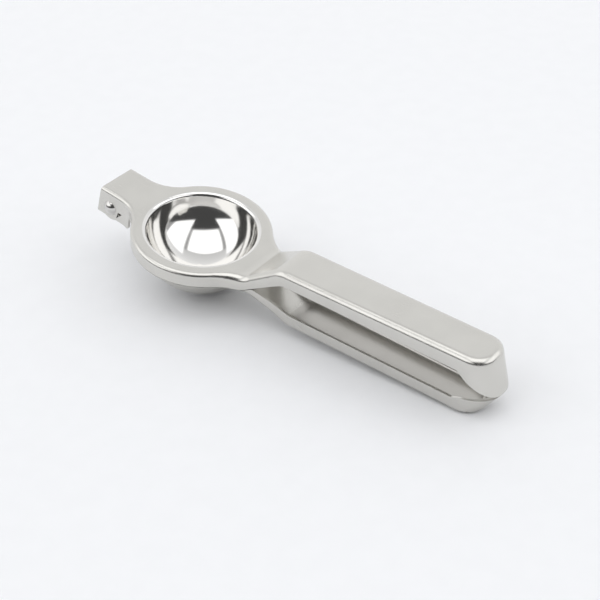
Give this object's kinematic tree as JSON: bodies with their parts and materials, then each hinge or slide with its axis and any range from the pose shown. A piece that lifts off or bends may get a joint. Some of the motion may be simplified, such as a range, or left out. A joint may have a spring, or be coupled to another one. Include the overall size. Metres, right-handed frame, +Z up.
{
  "type": "hinged lemon squeezer",
  "caption": "Hand squeezer of two hinged steel arms: a hollow bowl on one arm nests in a pierced cup on the other, with channel handles closing to a beak.",
  "frame": {"origin": "middle of the closed squeezer's footprint, on the table it stands on", "axes": "+Z up, +X from the hinge towards the ends of the handles, Y along the hinge pin; the squeezer stands nose down on its cup and the tip of its lower handle"},
  "size_m": [0.2234, 0.0668, 0.0405],
  "materials": {
    "press_steel": "satin outside, polished bowl",
    "strainer_steel": "satin outside, polished cup",
    "pin_steel": "polished domed heads"
  },
  "bodies": {
    "strainer": {"strainer_arm": "strainer_steel"},
    "press": {"press_arm": "press_steel", "hinge_pin": "pin_steel"}
  },
  "joints": [
    {"name": "arm_hinge", "type": "hinge", "parent": "strainer", "child": "press", "pos_m": [-0.10234, 0, 0.03003], "axis": [0, -1, 0], "range_deg": [0, 215]}
  ]
}
